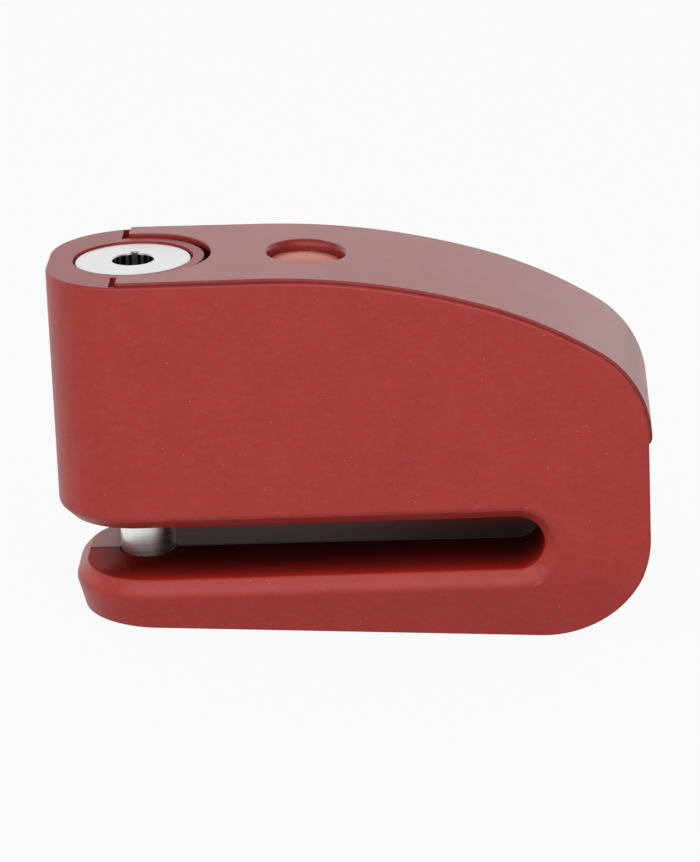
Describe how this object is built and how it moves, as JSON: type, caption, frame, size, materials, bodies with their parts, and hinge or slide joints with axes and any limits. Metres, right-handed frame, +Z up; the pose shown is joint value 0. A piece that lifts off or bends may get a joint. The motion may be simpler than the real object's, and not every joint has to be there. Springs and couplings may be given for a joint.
{
  "type": "disc brake lock",
  "caption": "Motorcycle brake disc lock with alarm: U-shaped red body, disc slot, push-down steel pin with key cylinder, curved top cover and sunken button.",
  "frame": {"origin": "centre of the box on the surface that the lock lies on", "axes": "+X along the lock from the pin to the tail, +Y across its depth, +Z up from the base"},
  "size_m": [0.1092, 0.0388, 0.0664],
  "materials": {
    "red_paint": "satin sprayed paint with a fine grain",
    "cover_paint": "satin sprayed paint with a fine grain",
    "pin_steel": "ground and polished",
    "cap_chrome": "satin chrome plate",
    "cylinder_steel": "turned",
    "spring_steel": "drawn wire",
    "plug_brass": "turned",
    "seal_rubber": "moulded",
    "button_plastic": "translucent red moulding, satin",
    "black_plastic": "moulded",
    "board_green": "solder mask",
    "cell_steel": "nickel plated",
    "contact_brass": "plated spring brass",
    "led_lens": "clear red epoxy",
    "reed_glass": "clear"
  },
  "bodies": {
    "lock_body": {"body_casting": "red_paint", "top_cover": "cover_paint", "cover_seal": "seal_rubber", "cover_screw": "cylinder_steel", "guide_pin": "cylinder_steel", "pin_seal": "seal_rubber", "plunger_spring": "spring_steel", "button_spring": "spring_steel", "button_retainer": "black_plastic", "battery_tray": "black_plastic", "button_cells": "cell_steel", "battery_contacts": "contact_brass", "circuit_board": "board_green", "board_screws": "cylinder_steel", "control_chip": "black_plastic", "shock_sensor": "cell_steel", "indicator_led": "led_lens", "tact_switch": "black_plastic", "reed_switch": "reed_glass", "siren_housing": "black_plastic", "siren_diaphragm": "contact_brass"},
    "plunger": {"locking_pin": "pin_steel", "cylinder_barrel": "cylinder_steel", "cross_pin": "cylinder_steel", "cylinder_cap": "cap_chrome", "barrel_seal": "seal_rubber", "arming_magnet": "cell_steel"},
    "plug": {"key_plug": "plug_brass", "tumbler_discs": "plug_brass", "sidebar": "cylinder_steel"},
    "latch": {"lock_latch": "cylinder_steel"},
    "button": {"alarm_button": "button_plastic"}
  },
  "joints": [
    {"name": "plunger_slide", "type": "slide", "parent": "lock_body", "child": "plunger", "axis": [-0.0593, 0, 0.9982], "range_m": [0, 0.0146], "deforming": ["plunger_spring"]},
    {"name": "key_turn", "type": "hinge", "parent": "plunger", "child": "plug", "pos_m": [-0.03846, 0, 0.04931], "axis": [0.0593, 0, -0.9982], "range_deg": [0, 90]},
    {"name": "latch_slide", "type": "slide", "parent": "plunger", "child": "latch", "axis": [0, -1, 0], "range_m": [0, 0.002]},
    {"name": "button_press", "type": "slide", "parent": "lock_body", "child": "button", "axis": [-0.0034, 0, -1], "range_m": [0, 0.0012], "stiffness_N_per_m": 800, "springref_m": -0.0005, "deforming": ["button_spring"]}
  ],
  "couplings": [
    {"joint": "key_turn", "follows": "latch_slide", "rad_per_m": 785.39}
  ]
}
